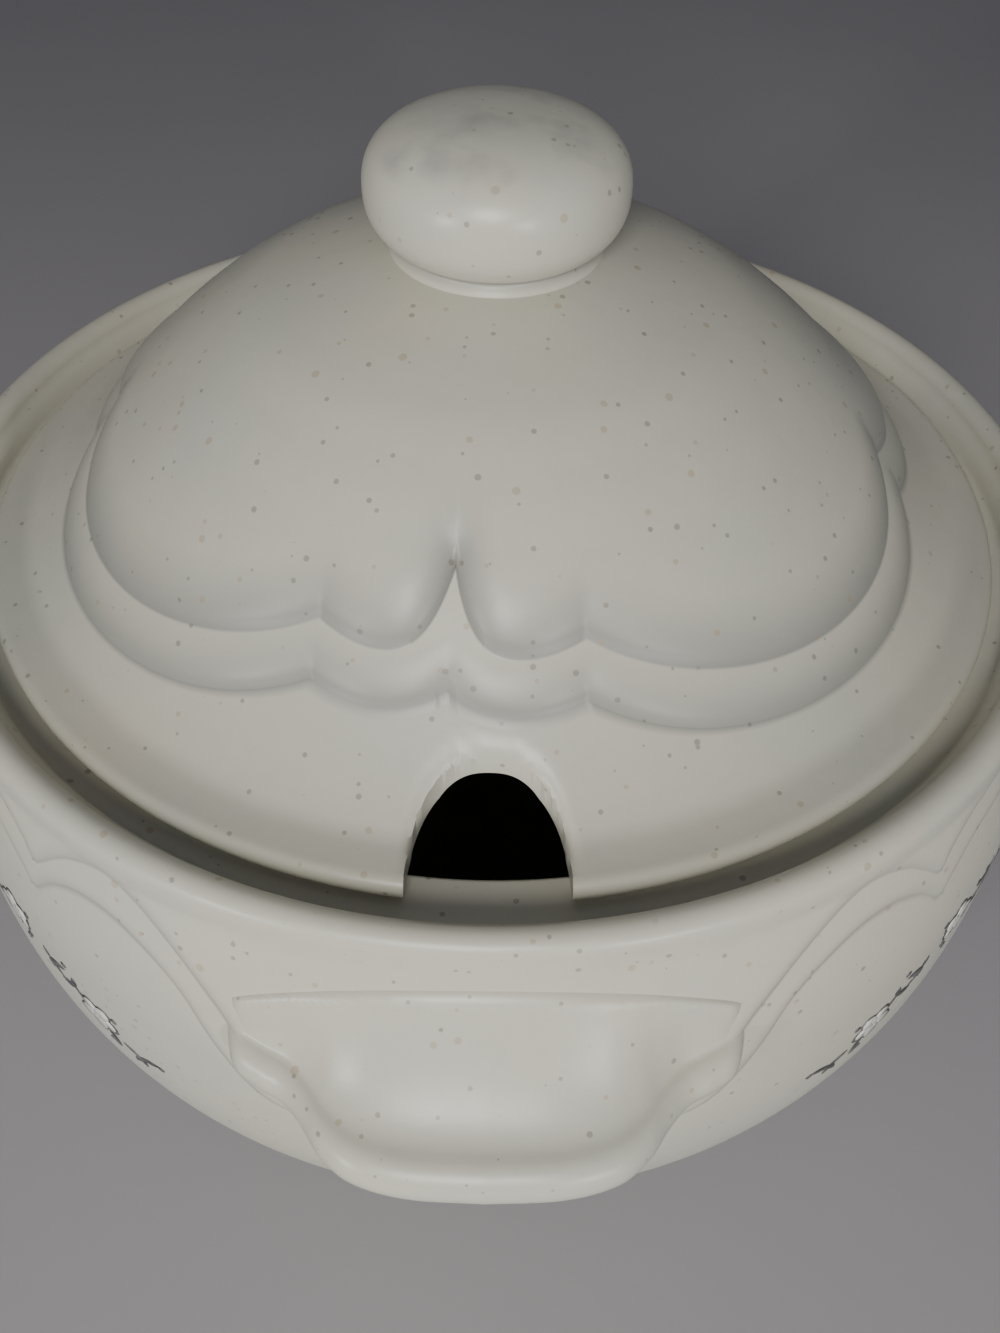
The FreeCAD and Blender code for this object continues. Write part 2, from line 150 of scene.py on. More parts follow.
def turned(outline, steps):
    """An outline of (radius, height) spun about the upright axis, its seam and poles merged."""
    bm = bmesh.new()
    verts = [bm.verts.new((radius, 0, height)) for radius, height in outline]
    edges = [bm.edges.new(pair) for pair in zip(verts, verts[1:])]
    bmesh.ops.spin(bm, geom=verts + edges, cent=(0, 0, 0), axis=(0, 0, 1), angle=math.tau,
                   steps=steps, use_merge=True, use_duplicate=False)
    bmesh.ops.remove_doubles(bm, verts=bm.verts[:], dist=1e-4)
    bmesh.ops.recalc_face_normals(bm, faces=bm.faces[:])
    return bm


class Shade:
    """One value in a finish's nodes. Sums with it add Math nodes; node() adds any other."""

    def __init__(self, tree, socket=None):
        self.tree = tree
        self.socket = socket

    def node(self, kind, settings=None, inputs=None, output=0):
        made = self.tree.nodes.new(kind)
        for name, value in (settings or {}).items():
            if name == "stops":
                for stop, (place, colour) in enumerate(value):
                    stops = made.color_ramp.elements
                    element = stops[stop] if stop < 2 else stops.new(place)
                    element.position, element.color = place, colour
            else:
                setattr(made, name, value)
        for name, value in (inputs or {}).items():
            if isinstance(value, Shade):
                self.tree.links.new(value.socket, made.inputs[name])
            else:
                made.inputs[name].default_value = value
        return Shade(self.tree, made.outputs[output])

    def sum(self, operation, first, second, clamp=False):
        return self.node("ShaderNodeMath", {"operation": operation, "use_clamp": clamp},
                         {0: first, 1: second})

    def __add__(self, other):
        return self.sum("ADD", self, other)

    def __radd__(self, other):
        return self.sum("ADD", other, self)

    def __sub__(self, other):
        return self.sum("SUBTRACT", self, other)

    def __rsub__(self, other):
        return self.sum("SUBTRACT", other, self)

    def __mul__(self, other):
        return self.sum("MULTIPLY", self, other)

    def __rmul__(self, other):
        return self.sum("MULTIPLY", other, self)

    def clamped(self):
        return self.sum("ADD", self, 0.0, clamp=True)

    def mixed(self, other, share):
        """This colour, mixed towards another by a share."""
        return self.node("ShaderNodeMix", {"data_type": "RGBA"}, {0: share, 6: self, 7: other}, 2)


PUTTY = (0.600, 0.585, 0.500, 1)
COOL_PUTTY = (0.545, 0.552, 0.500, 1)
ROSY_PUTTY = (0.640, 0.572, 0.468, 1)
# Painted shade: the grey of the roll-offs beside the relief's creases.
ROLL_OFF_SHADE_GREY = (0.235, 0.240, 0.235, 1)
DARK_SPECK = (0.130, 0.105, 0.080, 1)
TAN_SPECK = (0.400, 0.285, 0.165, 1)
BARE_CLAY = (0.500, 0.400, 0.290, 1)
# A grey for fine random mottling, and for the painted shade on the knob's top.
GREY_MOTTLE_AND_TOP_SHADE = (0.360, 0.360, 0.340, 1)


def glazed(name, top_shade_height=None):
    """Satin putty glaze over speckled stoneware, bare on the underside of the foot, with painted shade on the
    roll-offs beside creases and, above a given height, painted shade on the top.
    """
    material = bpy.data.materials.new(name)
    material.use_nodes = True
    tree = material.node_tree
    shader = tree.nodes["Principled BSDF"]
    start = Shade(tree)
    place = start.node("ShaderNodeTexCoord", output=3)
    apart = start.node("ShaderNodeSeparateXYZ", inputs={0: place}, output=2)

    def cloud(scale, detail, rough=0.5):
        return start.node("ShaderNodeTexNoise", None,
                          {"Vector": place, "Scale": scale, "Detail": detail, "Roughness": rough})

    def specks(scale, share, size):
        """Round grains of the clay that show through: few cells of a fine pattern hold one."""
        cell = start.node("ShaderNodeTexVoronoi", None, {"Vector": place, "Scale": scale})
        colour = start.node("ShaderNodeTexVoronoi", None, {"Vector": place, "Scale": scale}, 1)
        chance = start.node("ShaderNodeSeparateColor", inputs={0: colour})
        spread = start.node("ShaderNodeSeparateColor", inputs={0: colour}, output=1)
        held = ((chance - (1 - share)) * 60.0).clamped()
        return ((spread * size + size * 0.4 - cell) * (5.0 / size)).clamped() * held

    colour = start.node("ShaderNodeRGB")
    colour.socket.default_value = PUTTY
    cool = start.node("ShaderNodeRGB")
    cool.socket.default_value = COOL_PUTTY
    rosy = start.node("ShaderNodeRGB")
    rosy.socket.default_value = ROSY_PUTTY
    colour = colour.mixed(cool, ((cloud(17.0, 3.0) - 0.42) * 3.0).clamped())
    colour = colour.mixed(rosy, ((cloud(26.0, 2.0) - 0.55) * 3.2).clamped() * 0.55)
    colour = colour.mixed(GREY_MOTTLE_AND_TOP_SHADE, ((cloud(230.0, 4.0, 0.7) - 0.5) * 1.2).clamped() * 0.25)
    # Painted shade, greyer on the roll-offs and in the creases.
    crease_shade = start.node("ShaderNodeAttribute", {"attribute_name": "crease_shade"}, output=2)
    colour = colour.mixed(ROLL_OFF_SHADE_GREY, crease_shade * 0.8)
    colour = colour.mixed(TAN_SPECK, specks(260.0, 0.28, 0.16) * 0.42)
    colour = colour.mixed(DARK_SPECK, specks(420.0, 0.22, 0.19) * 0.45)
    colour = colour.mixed(DARK_SPECK, specks(150.0, 0.14, 0.085) * 0.5)
    # Painted shade on the top above a given height, in patches.
    if top_shade_height:
        painted_top_shade = ((apart * (1 / MM) - top_shade_height) * 0.5).clamped()
        colour = colour.mixed(GREY_MOTTLE_AND_TOP_SHADE, painted_top_shade * ((cloud(85.0, 3.0) - 0.5) * 5.0).clamped() * 0.6)
    bare = ((0.0011 - apart) * 3000.0).clamped()
    colour = colour.mixed(BARE_CLAY, bare)
    grain = cloud(900.0, 3.0)
    roughness = (cloud(60.0, 3.0) * 0.12 + 0.29) + bare * 0.5 + crease_shade * 0.08
    tree.links.new(colour.socket, shader.inputs["Base Color"])
    tree.links.new(roughness.socket, shader.inputs["Roughness"])
    height = cloud(38.0, 2.0) * 0.55 + cloud(210.0, 2.0) * 0.12 + grain * (bare * 0.25 + 0.02)
    bump = start.node("ShaderNodeBump", None, {"Height": height, "Strength": 0.35, "Distance": 0.0012})
    tree.links.new(bump.socket, shader.inputs["Normal"])
    shader.inputs["IOR"].default_value = 1.5
    return material


def make_piece(name, bm, finish, body, node=None):
    """Turns a finished shape in millimetres into a piece of the object that rides on a body."""
    bmesh.ops.scale(bm, vec=(MM, MM, MM), verts=bm.verts[:])
    mesh = bpy.data.meshes.new(name)
    bm.to_mesh(mesh)
    bm.free()
    mesh.shade_smooth()
    mesh.materials.append(finish)
    piece = bpy.data.objects.new(name, mesh)
    bpy.context.scene.collection.objects.link(piece)
    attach(piece, body)
    if node:
        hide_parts(node)
    return piece


bowl_outline = [(0.0, 4.0)]
run_on(bowl_outline, (66.0, 4.0), pieces=6)
run_on(bowl_outline, (72.2, 3.8), pieces=3)
run_on(bowl_outline, (73.0, 3.0), 0.25, 3)
run_on(bowl_outline, (73.0, 1.4))
run_on(bowl_outline, (74.4, 0.0), 0.4, 4)
run_on(bowl_outline, (78.6, 0.0), pieces=3)
run_on(bowl_outline, (FOOT_RADIUS, 1.4), 0.4, 4)
run_on(bowl_outline, (FOOT_RADIUS, 2.6))
run_on(bowl_outline, (81.6, 4.6), -0.5, 4)
run_on(bowl_outline, (wall_radius(HAUNCH_HEIGHT), HAUNCH_HEIGHT), 4.6, 12)
height = HAUNCH_HEIGHT + 3.0
while height < RELIEF_FOOT:
    bowl_outline.append((wall_radius(height), height))
    height += 3.0
band_rows = ROWS_BELOW + ROWS_BETWEEN + ROWS_ABOVE
band_top = LIP_MIDDLE - 0.8
for row in range(band_rows + 1):
    height = RELIEF_FOOT + (band_top - RELIEF_FOOT) * row / band_rows
    bowl_outline.append((wall_radius(height), height))
bowl_outline.append((RIM_RADIUS, LIP_MIDDLE))
run_on(bowl_outline, (RIM_RADIUS - LIP, LIP_MIDDLE), LIP / 2, 14)
run_on(bowl_outline, (GALLERY_RADIUS + 0.9, SEAT + 1.6), 0.25, 4)
run_on(bowl_outline, (GALLERY_RADIUS - 0.9, SEAT), -0.4, 4)
run_on(bowl_outline, (GALLERY_INSIDE + 1.0, SEAT), pieces=4)
run_on(bowl_outline, (GALLERY_INSIDE, SEAT - 1.0), 0.3, 3)
run_on(bowl_outline, (GALLERY_INSIDE, SEAT - 4.4), pieces=2)
run_on(bowl_outline, (BELLY_RADIUS - 6.2, 106.5), -1.0, 6)
run_on(bowl_outline, (BELLY_RADIUS - 6.0, BELLY_HEIGHT), pieces=3)
run_on(bowl_outline, (106.5, 35.0), -5.2, 10)
run_on(bowl_outline, (73.0, 8.0), -3.0, 8)
run_on(bowl_outline, (0.0, 7.0), pieces=8)

lower_line = line_tree(LOWER_LOBE, LOWER_ARCH)
upper_line = line_tree(UPPER_LOBE, UPPER_ARCH)
bowl_shape = turned(bowl_outline, 640)
bowl_crease_shade = bowl_shape.verts.layers.float.new("crease_shade")
for vert in bowl_shape.verts:
    x, y, z = vert.co
    radius = math.hypot(x, y)
    if not RELIEF_FOOT - 0.1 < z < band_top + 0.1 or radius < wall_radius(z) - 1:
        continue
    degrees = math.degrees(math.atan2(abs(x), abs(y)))
    row = round((z - RELIEF_FOOT) / (band_top - RELIEF_FOOT) * band_rows)
    lower = line_height(LOWER_LOBE, LOWER_ARCH, degrees)
    upper = line_height(UPPER_LOBE, UPPER_ARCH, degrees)
    if row <= ROWS_BELOW:
        z = RELIEF_FOOT + (lower - RELIEF_FOOT) * row / ROWS_BELOW
    elif row <= ROWS_BELOW + ROWS_BETWEEN:
        z = lower + (upper - lower) * (row - ROWS_BELOW) / ROWS_BETWEEN
    else:
        z = upper + (band_top - upper) * (row - ROWS_BELOW - ROWS_BETWEEN) / ROWS_ABOVE
    spot = (math.radians(degrees) * BELLY_RADIUS, z, 0)
    raised = 0.0
    # Each crease also paints shade on the roll-off beside it, at 0.6 strength.
    for first_row, tree in ((ROWS_BELOW, lower_line), (ROWS_BELOW + ROWS_BETWEEN, upper_line)):
        away = tree.find(spot)[2] if row > first_row else 0.0
        raised += RELIEF_STEP * rolled(away / RELIEF_ROUND)
        vert[bowl_crease_shade] = max(vert[bowl_crease_shade], roll_off_shade(row - first_row, away, RELIEF_ROUND) * 0.6)
    spread = (wall_radius(z) + raised) / radius
    vert.co = (x * spread, y * spread, z)
glaze = glazed("putty_glaze")
make_piece("stoneware_bowl", bowl_shape, glaze, "bowl", "tureen_bowl")


# ---- The garlands ----
# A garland of small leaves, berries and open blossoms on each side panel, printed in underglaze
# colours on the fired bowl. Each print is a film a fraction of a millimetre thick.
FILM = 0.3
FILM_PROUD = 0.12
GARLAND = [(33.0, 65.0), (40.0, 78.0), (48.0, 88.0), (60.0, 93.5), (75.0, 95.5), (90.0, 96.0)]


def wall_place(side, degrees, height, proud):
    """A point of the side wall: degrees from the front handle, on the right (1) or the left (-1)."""
    turn = math.radians(degrees)
    radius = wall_radius(height) + proud
    return Vector((side * radius * math.sin(turn), -radius * math.cos(turn), height))


def print_petal(bm, side, degrees, height, length, width, turn, proud, blunt=0.0):
    """Adds one almond-shaped print, pointing away from its spot; blunt rounds its far end."""
    made = bmesh.ops.create_circle(bm, cap_ends=True, segments=12, radius=1.0)["verts"]
    for vert in made:
        along, across = (vert.co.x + 1) / 2, vert.co.y
        across *= width / 2 * (1 - (1 - blunt) * max(0.0, vert.co.x) ** 2 * 0.7)
        along *= length
        run = along * math.cos(turn) - across * math.sin(turn)
        rise = along * math.sin(turn) + across * math.cos(turn)
        vert.co = wall_place(side, degrees + math.degrees(run / BELLY_RADIUS), height + rise, proud)


def printed(name, colour, other, lay):
    """A print's piece: its shapes laid on both sides of the bowl and given their thickness."""
    bm = bmesh.new()
    for side in (1, -1):
        lay(bm, side)
    bmesh.ops.recalc_face_normals(bm, faces=bm.faces[:])
    for face in bm.faces:
        middle = face.calc_center_median()
        if face.normal.dot(Vector((middle.x, middle.y, 0))) < 0:
            face.normal_flip()
    bmesh.ops.solidify(bm, geom=bm.faces[:], thickness=FILM)
    bmesh.ops.recalc_face_normals(bm, faces=bm.faces[:])
    ink = bpy.data.materials.new(name + "_ink")
    ink.use_nodes = True
    start = Shade(ink.node_tree)
    place = start.node("ShaderNodeTexCoord", output=3)
    wash = start.node("ShaderNodeTexNoise", None, {"Vector": place, "Scale": 420.0, "Detail": 3.0})
    tint = start.node("ShaderNodeRGB")
    tint.socket.default_value = colour
    tint = tint.mixed(other, ((wash - 0.4) * 3.0).clamped())
    shader = ink.node_tree.nodes["Principled BSDF"]
    ink.node_tree.links.new(tint.socket, shader.inputs["Base Color"])
    ink.node_tree.links.new((wash * 0.15 + 0.28).socket, shader.inputs["Roughness"])
    return make_piece(name, bm, ink, "bowl")


# A sprig every few degrees along the garland; every third one carries a blossom of five petals.
SPRIG_START, SPRIG_STEP, SPRIG_COUNT = 33.5, 3.4, 34
SPRIGS = [SPRIG_START + SPRIG_STEP * number for number in range(SPRIG_COUNT)]
PETALS = 5
OUTLINE_PROUD, BLOSSOM_PROUD = FILM_PROUD + 0.06, FILM_PROUD + 0.12


def sprig_height(degrees):
    return flow(GARLAND, degrees if degrees <= 90 else 180 - degrees)


def lay_petals(bm, side, number, degrees, length, width, proud):
    """Lays a sprig's blossom, where it carries one."""
    if number % 3 != 1:
        return
    for petal in range(PETALS):
        turn = math.tau * petal / PETALS + number
        print_petal(bm, side, degrees + 0.9, sprig_height(degrees) + 2.2, length, width, turn, proud, 1.0)


def lay_leaves(bm, side):
    for number, degrees in enumerate(SPRIGS):
        height = sprig_height(degrees)
        for leaf in range(4):
            turn = 0.5 + 1.55 * leaf + 0.9 * math.sin(number * 2.4 + leaf)
            length = 4.6 + 1.6 * math.sin(number * 1.7 + leaf * 2.0)
            print_petal(bm, side, degrees, height + 1.2 * math.cos(number * 3.0), length, 1.7, turn,
                        FILM_PROUD)
        for berry in range(2):
            turn = number * 2.1 + berry * 2.7
            print_petal(bm, side, degrees + 2.6 * math.cos(turn), height + 5.2 * math.sin(turn),
                        1.7, 1.7, turn, FILM_PROUD, 1.0)
        lay_petals(bm, side, number, degrees, 5.4, 4.4, OUTLINE_PROUD)


def lay_blossoms(bm, side):
    for number, degrees in enumerate(SPRIGS):
        lay_petals(bm, side, number, degrees, 4.8, 3.8, BLOSSOM_PROUD)


printed("garland_leaves", (0.055, 0.055, 0.060, 1), (0.20, 0.20, 0.205, 1), lay_leaves)
printed("garland_blossoms", (0.74, 0.74, 0.71, 1), (0.60, 0.60, 0.575, 1), lay_blossoms)


# ---- The lug handles ----
# Two broad lugs of the same clay, pressed in a mould and luted to the band before glazing. Each has
# a scooped top for the thumbs, a rolled edge that swings in to the bowl at its ends, and a hollow
# underside for the fingers.
LUG_OUTLINE = [(0.0, (0.0, 142.5)), (0.2, (12.5, 141.8)), (0.38, (21.5, 139.3)),
               (0.5, (26.6, 135.3)), (0.6, (30.0, 130.4)), (0.7, (33.6, 126.4)),
               (0.8, (38.0, 123.9)), (0.9, (42.2, 120.6)), (1.0, (44.2, 113.5))]
LUG_ROOT_RADIUS = 114.5
LUG_ROOT_TURN = 22.0
CREST_PROUD = 0.9
CREST_ENDS = 109.5
CREST_ARCH = 13.0
SCOOP_HEIGHT = 103.6
LUG_EDGE = 4.7


def lug_point(across, along):
    """A place on the lug's skin: across from -1 to 1, along its section from -1 to 1."""
    side = math.copysign(1.0, across)
    across = abs(across)
    edge_x = flow([(share, spot[0]) for share, spot in LUG_OUTLINE], across)
    edge_y = flow([(share, spot[1]) for share, spot in LUG_OUTLINE], across)
    turn = math.radians(LUG_ROOT_TURN * across)
    root = Vector((math.sin(turn), math.cos(turn))) * LUG_ROOT_RADIUS
    out = Vector((edge_x, edge_y)) - root
    length = out.length
    edge = LUG_EDGE - 0.5 * across ** 2
    lift = 2.2 * across ** 4
    edge_middle = SCOOP_HEIGHT + 0.7 - LUG_EDGE + lift
    scoop_end = max(length - edge, 0.5)
    section = (along + 1) / 2
    crest_height = CREST_ENDS + CREST_ARCH * (1 - across ** 2) ** 0.75
    crest = wall_radius(crest_height) + 2 * RELIEF_STEP + CREST_PROUD - LUG_ROOT_RADIUS
    if section < 0.4:
        share = section / 0.4
        distance = scoop_end * share
        past = max(0.0, (distance - crest) / max(scoop_end - crest, 0.1))
        low = edge_middle + edge - 0.4
        height = low + (crest_height - low) * (1 - past) ** 1.65 + 0.4 * past ** 4
        if distance < crest:
            height = crest_height + 0.35 * (crest - distance) - 0.25 * max(0.0, crest - 2 - distance) ** 2
    elif section < 0.68:
        turn = math.pi * (section - 0.4) / 0.28
        distance = scoop_end + edge * math.sin(turn)
        height = edge_middle + edge * math.cos(turn)
    else:
        share = (section - 0.68) / 0.32
        distance = scoop_end * (1 - share)
        hollow = 2.6 * math.sin(math.pi * min(1.0, share * 1.25)) * (1 - across ** 4)
        flare = 7.0 * max(0.0, share - 0.35) ** 2
        height = edge_middle - edge + hollow - flare
    place = root + out / length * distance
    return Vector((side * place.x, -place.y, height))


def lug_shape():
    bm = bmesh.new()
    bmesh.ops.create_grid(bm, x_segments=120, y_segments=56, size=1.0)
    for vert in bm.verts:
        vert.co = lug_point(vert.co.x, vert.co.y)
    loops = [edge for edge in bm.edges if edge.is_boundary]
    bmesh.ops.holes_fill(bm, edges=loops, sides=0)
    bmesh.ops.triangulate(bm, faces=[face for face in bm.faces if len(face.verts) > 4])
    bmesh.ops.recalc_face_normals(bm, faces=bm.faces[:])
    return bm


make_piece("lug_front", lug_shape(), glaze, "bowl", "handle_front")
back_shape = lug_shape()
bmesh.ops.rotate(back_shape, cent=(0, 0, 0), matrix=Matrix.Rotation(math.pi, 3, "Z"),
                 verts=back_shape.verts[:])
make_piece("lug_back", back_shape, glaze, "bowl", "handle_back")


# ---- The lid ----
# A domed lid of the same stoneware, cast in a mould. Two scalloped layers stand up from its dome, and
# a rounded notch in its front edge lets a ladle's shaft out. It rests on the bowl's gallery.
LID_RADIUS = 106.0
EDGE_RADIUS = 2.5
knob_low, knob_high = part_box("lid_knob")
LID_BACK = (knob_low.y + knob_high.y) / 2 / MM
DOME = [(0.0, 57.6), (12.0, 57.0), (24.0, 55.2), (42.0, 48.9), (54.0, 41.4), (64.0, 33.2),
        (74.0, 23.9), (81.0, 17.9), (87.0, 13.0), (93.0, 8.8), (98.6, 6.0), (103.4, 5.0)]
PATTERN_TURN = -5.5
PANEL_ROW = 80.0
LEDGE_ROW = 88.0
CROWN_REACH = 30.0
DOME_REACH = 99.5
PANEL_STEP = 3.0
LEDGE_STEP = 2.5
PANEL_ROUND = 6.5
LEDGE_ROUND = 4.6


def scallop_radius(degrees, base, side, tall, small, across):
    """The radius of a scalloped outline: a rounded figure with cusps drawn into it."""
    turn = math.radians((degrees - PATTERN_TURN + 180) % 360 - 180)
    radius = base + side * math.cos(2 * turn)
    for middle in (0.0, math.pi, -math.pi):
        radius -= tall[0] * math.exp(-abs(turn - middle) / tall[1])
    for middle in (small[2], math.pi - small[2]):
        for sign in (1, -1):
            radius -= small[0] * math.exp(-abs(turn - sign * middle) / small[1])
    for sign in (1, -1):
        radius -= across[0] * math.exp(-abs(turn - sign * across[2]) / across[1])
    return radius * LID_RADIUS


def panel_radius(degrees):
    return scallop_radius(degrees, 0.915, 0.010, (0.122, 0.057), (0.167, 0.574, 0.315),
                          (0.128, 0.435, 1.50))


def ledge_radius(degrees):
    return scallop_radius(degrees, 0.969, 0.040, (0.059, 0.125), (0.181, 0.599, 0.305),
                          (0.084, 0.296, 1.50))


def outline_tree(radius_at):
    count = 4320
    tree = KDTree(count)
    for step in range(count):
        degrees = 360.0 * step / count
        turn = math.radians(degrees)
        radius = radius_at(degrees)
        tree.insert((radius * math.sin(turn), -radius * math.cos(turn), 0), step)
    tree.balance()
    return tree


# The rows of the dome's mesh, as (radius in the plain profile, rows up to it). One row lies along
# each scalloped outline, so that its crease is sharp.
DOME_ROWS = [(CROWN_REACH, 7), (70.0, 18), (PANEL_ROW, 16), (LEDGE_ROW, 15), (DOME_REACH, 11)]
lid_outline = [(0.0, flow(DOME, 0.0))]
reached = 0.0
for radius, rows in DOME_ROWS:
    for row in range(1, rows + 1):
        place = reached + (radius - reached) * row / rows
        lid_outline.append((place, flow(DOME, place)))
    reached = radius
lid_outline.append((LID_RADIUS - EDGE_RADIUS, 2 * EDGE_RADIUS))
run_on(lid_outline, (LID_RADIUS - EDGE_RADIUS, 0.0), -EDGE_RADIUS, 12)
run_on(lid_outline, (98.0, 0.0), pieces=3)
run_on(lid_outline, (96.6, 1.2), -0.3, 3)
run_on(lid_outline, (88.0, 5.8), -0.4, 5)
run_on(lid_outline, (46.0, 41.5), 3.2, 10)
run_on(lid_outline, (0.0, 51.2), 2.6, 8)

SHARP_EDGE = 38
NOTCH_HALF = 13.8
NOTCH_DEPTH = 21.0
NOTCH_POWER = 2.6
NOTCH_ROUND = 1.9
NOTCH_STEPS = 48


def notch_half(inwards):
    """Half of the notch's width, at a depth from the lid's edge."""
    share = max(0.0, min(1.0, inwards / NOTCH_DEPTH))
    return NOTCH_HALF * (1 - share ** NOTCH_POWER) ** (1 / NOTCH_POWER)


notch_corners = []
for step in range(NOTCH_STEPS + 1):
    inwards = NOTCH_DEPTH * math.sin(math.pi / 2 * step / NOTCH_STEPS)
    notch_corners.append((notch_half(inwards), inwards - LID_RADIUS))
notch_edge = [(NOTCH_HALF, -LID_RADIUS - 8.0)] + notch_corners
notch_edge += [(-x, y) for x, y in reversed(notch_edge[:-1])]
notch_tree = KDTree(2000)
count = 0
for (x0, y0), (x1, y1) in zip(notch_edge, notch_edge[1:]):
    pieces = max(1, int(math.hypot(x1 - x0, y1 - y0) / 0.3))
    for piece in range(pieces):
        share = piece / pieces
        notch_tree.insert((x0 + (x1 - x0) * share, y0 + (y1 - y0) * share, 0), count)
        count += 1
notch_tree.balance()

panel_tree = outline_tree(panel_radius)
ledge_tree = outline_tree(ledge_radius)
lid_shape = turned(lid_outline, 660)
lid_crease_shade = lid_shape.verts.layers.float.new("crease_shade")
for vert in lid_shape.verts:
    x, y, z = vert.co
    plain = math.hypot(x, y)
    if plain > 103.5 or plain < 0.01 or z < flow(DOME, plain) - 0.5:
        continue
    degrees = math.degrees(math.atan2(x, -y))
    panel_edge, ledge_edge = panel_radius(degrees), ledge_radius(degrees)
    if plain <= CROWN_REACH:
        radius = plain
    elif plain <= PANEL_ROW:
        share = (plain - CROWN_REACH) / (PANEL_ROW - CROWN_REACH)
        radius = CROWN_REACH + (panel_edge - CROWN_REACH) * share
    elif plain <= LEDGE_ROW:
        radius = panel_edge + (ledge_edge - panel_edge) * (plain - PANEL_ROW) / (LEDGE_ROW - PANEL_ROW)
    elif plain <= DOME_REACH:
        share = (plain - LEDGE_ROW) / (DOME_REACH - LEDGE_ROW)
        radius = ledge_edge + (DOME_REACH - ledge_edge) * share
    else:
        radius = plain
    x, y = x * radius / plain, y * radius / plain
    raised = 0.0
    # Each scalloped crease also paints shade on the roll-off inside it.
    for tree, crease_row, step, reach in ((panel_tree, PANEL_ROW, PANEL_STEP, PANEL_ROUND),
                                          (ledge_tree, LEDGE_ROW, LEDGE_STEP, LEDGE_ROUND)):
        inside = crease_row - plain
        away = 0.0
        if inside > 0.01:
            away = tree.find((x, y, 0))[2] if radius > 45 else 30.0
        raised += step * rolled(away / reach)
        vert[lid_crease_shade] = max(vert[lid_crease_shade], roll_off_shade(inside + 0.01, away, reach))
    slope = flow(DOME, radius + 0.5) - flow(DOME, max(0.0, radius - 0.5))
    vert.co = (x, y, flow(DOME, radius) + raised * math.hypot(1, slope))
    gap = notch_tree.find((x, y, 0))[2]
    if gap < NOTCH_ROUND:
        inside = y < notch_corners[-1][1] and abs(x) < notch_half(y + LID_RADIUS)
        gap = 0.0 if inside else gap
        vert.co.z -= NOTCH_ROUND - math.sqrt(NOTCH_ROUND ** 2 - (NOTCH_ROUND - gap) ** 2)
top_vert = max(lid_shape.verts, key=lambda vert: vert.co.z if math.hypot(vert.co.x, vert.co.y) < 0.01 else -1)
top_vert.co.z += PANEL_STEP + LEDGE_STEP
bmesh.ops.translate(lid_shape, vec=(0, LID_BACK, SEAT), verts=lid_shape.verts[:])
lid = make_piece("domed_lid", lid_shape, glaze, "lid", "lid")

notch_shape = bmesh.new()
notch_floor = notch_shape.faces.new([notch_shape.verts.new((x, y, -6.0)) for x, y in notch_edge])
notch_walls = bmesh.ops.extrude_face_region(notch_shape, geom=[notch_floor])["geom"]
bmesh.ops.translate(notch_shape, vec=(0, 0, 40.0),
                    verts=[part for part in notch_walls if isinstance(part, bmesh.types.BMVert)])
bmesh.ops.recalc_face_normals(notch_shape, faces=notch_shape.faces[:])
bmesh.ops.translate(notch_shape, vec=(0, LID_BACK, SEAT), verts=notch_shape.verts[:])
bmesh.ops.scale(notch_shape, vec=(MM, MM, MM), verts=notch_shape.verts[:])
notch_mesh = bpy.data.meshes.new("notch_cutter")
notch_shape.to_mesh(notch_mesh)
notch_shape.free()
notch_cutter = bpy.data.objects.new("notch_cutter", notch_mesh)
bpy.context.scene.collection.objects.link(notch_cutter)
cutting = lid.modifiers.new("ladle_notch", "BOOLEAN")
cutting.operation = "DIFFERENCE"
cutting.solver = "EXACT"
cutting.object = notch_cutter
bpy.context.view_layer.update()
lid.data = bpy.data.meshes.new_from_object(
    lid.evaluated_get(bpy.context.evaluated_depsgraph_get()))
lid.modifiers.clear()
bpy.data.objects.remove(notch_cutter)
lid.data.shade_smooth()
lid.data.set_sharp_from_angle(angle=math.radians(SHARP_EDGE))


# ---- The knob ----
# A flattened ball on a short flared neck, made apart and luted to the crown before glazing. Its top is
# painted a little grey in patches, as painted shade.
KNOB_RADIUS = 24.4
KNOB_MIDDLE = 196.9
KNOB_HALF = 13.1
KNOB_ROWS = 44
KNOB_POWER = 2.47
NECK_CREASE = 19.5
NECK_FOOT = 28.5

knob_outline = [(0.0, KNOB_MIDDLE + KNOB_HALF)]
for step in range(1, KNOB_ROWS + 1):
    turn = math.pi * 0.86 * step / KNOB_ROWS
    across, up = math.sin(turn), math.cos(turn)
    radius = KNOB_RADIUS * across ** (2 / KNOB_POWER)
    height = KNOB_MIDDLE + KNOB_HALF * math.copysign(abs(up) ** (2 / KNOB_POWER), up)
    if up < 0 and radius < NECK_CREASE:
        break
    knob_outline.append((radius, height))
crease_height = knob_outline[-1][1] - 0.5
run_on(knob_outline, (NECK_CREASE - 0.6, crease_height), -0.1, 2)
run_on(knob_outline, (NECK_CREASE - 0.2, crease_height - 1.0), 0.15, 3)
run_on(knob_outline, (NECK_FOOT, SEAT + 59.4), 1.9, 14)
run_on(knob_outline, (NECK_FOOT + 0.2, SEAT + 58.6), pieces=1)
run_on(knob_outline, (0.0, SEAT + 58.6), pieces=4)
knob_shape = turned(knob_outline, 160)
knob_crease_shade = knob_shape.verts.layers.float.new("crease_shade")
# Painted shade in the crease under the ball, fading out within 1.6 mm.
for vert in knob_shape.verts:
    vert[knob_crease_shade] = max(0.0, 1 - abs(vert.co.z - crease_height) / 1.6)
bmesh.ops.translate(knob_shape, vec=(0, LID_BACK, 0), verts=knob_shape.verts[:])
make_piece("ball_knob", knob_shape, glazed("knob_glaze_top_shade", KNOB_MIDDLE + 6), "lid", "lid_knob")


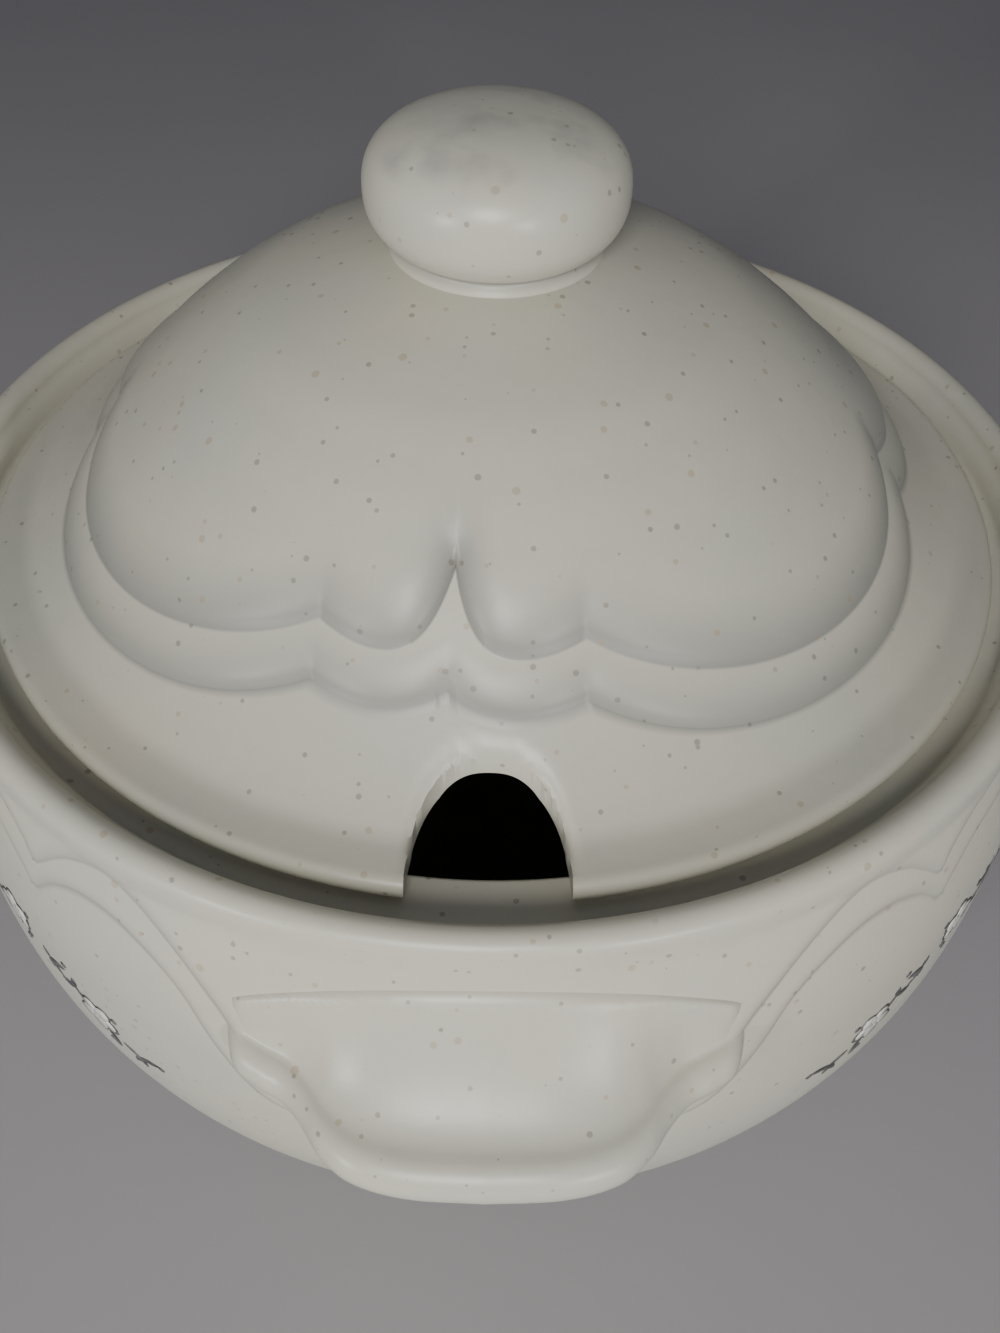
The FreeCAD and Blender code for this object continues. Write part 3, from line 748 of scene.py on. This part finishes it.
# ---- The floor, the lights and the camera ----
# A plain pale table top, one broad soft light from the front and above, and two small low ones.
floor_mesh = bpy.data.meshes.new("table_top")
floor_shape = bmesh.new()
bmesh.ops.create_grid(floor_shape, x_segments=1, y_segments=1, size=4.0)
floor_shape.to_mesh(floor_mesh)
floor_shape.free()
table_top = bpy.data.objects.new("table_top", floor_mesh)
bpy.context.scene.collection.objects.link(table_top)
floor_finish = bpy.data.materials.new("pale_cloth")
floor_finish.use_nodes = True
floor_shader = floor_finish.node_tree.nodes["Principled BSDF"]
floor_place = Shade(floor_finish.node_tree).node("ShaderNodeTexCoord", output=3)
floor_cloud = floor_place.node("ShaderNodeTexNoise", None,
                               {"Vector": floor_place, "Scale": 5.0, "Detail": 2.0})
floor_colour = floor_place.node("ShaderNodeRGB")
floor_colour.socket.default_value = (0.40, 0.385, 0.415, 1)
floor_colour = floor_colour.mixed((0.35, 0.34, 0.37, 1), floor_cloud)
floor_finish.node_tree.links.new(floor_colour.socket, floor_shader.inputs["Base Color"])
floor_shader.inputs["Roughness"].default_value = 0.85
floor_mesh.materials.append(floor_finish)

world = bpy.data.worlds.new("studio")
bpy.context.scene.world = world
world.use_nodes = True
world.node_tree.nodes["Background"].inputs["Color"].default_value = (0.80, 0.82, 0.90, 1)
world.node_tree.nodes["Background"].inputs["Strength"].default_value = 0.13


def soft_light(name, size, watts, place, target, colour):
    lamp = bpy.data.lights.new(name, "AREA")
    lamp.shape = "DISK"
    lamp.size = size
    lamp.energy = watts
    lamp.color = colour
    light = bpy.data.objects.new(name, lamp)
    light.location = place
    light.rotation_euler = (Vector(target) - Vector(place)).to_track_quat("-Z", "Y").to_euler()
    bpy.context.scene.collection.objects.link(light)


soft_light("front_softbox", 0.45, 9.5, (-0.12, -1.05, 0.74), (0, 0, 0.12), (1.0, 0.98, 0.92))
soft_light("low_left", 0.11, 3.0, (-0.74, -0.86, 0.27), (0, 0, 0.15), (1.0, 0.98, 0.93))
soft_light("low_right", 0.11, 3.0, (0.47, -1.04, 0.27), (0, 0, 0.15), (1.0, 0.98, 0.93))

CAMERA_LENS = 35.1
CAMERA_PLACE = (0.0, -0.22475, 0.3031)
camera_data = bpy.data.cameras.new("camera")
camera_data.lens = CAMERA_LENS
camera_data.sensor_width = 36.0
camera_data.clip_start = 0.01
camera = bpy.data.objects.new("camera", camera_data)
PITCH, YAW, ROLL = 0.7956, 0.0099, 0.0198
looking = Vector((math.sin(YAW) * math.cos(PITCH), math.cos(YAW) * math.cos(PITCH),
                  -math.sin(PITCH)))
level = Vector((math.cos(YAW), -math.sin(YAW), 0))
upward = level.cross(looking)
right = level * math.cos(ROLL) + upward * math.sin(ROLL)
above = upward * math.cos(ROLL) - level * math.sin(ROLL)
camera.matrix_world = Matrix.Translation(CAMERA_PLACE) @ Matrix(
    (right, above, -looking)).transposed().to_4x4()
bpy.context.scene.collection.objects.link(camera)
bpy.context.scene.camera = camera
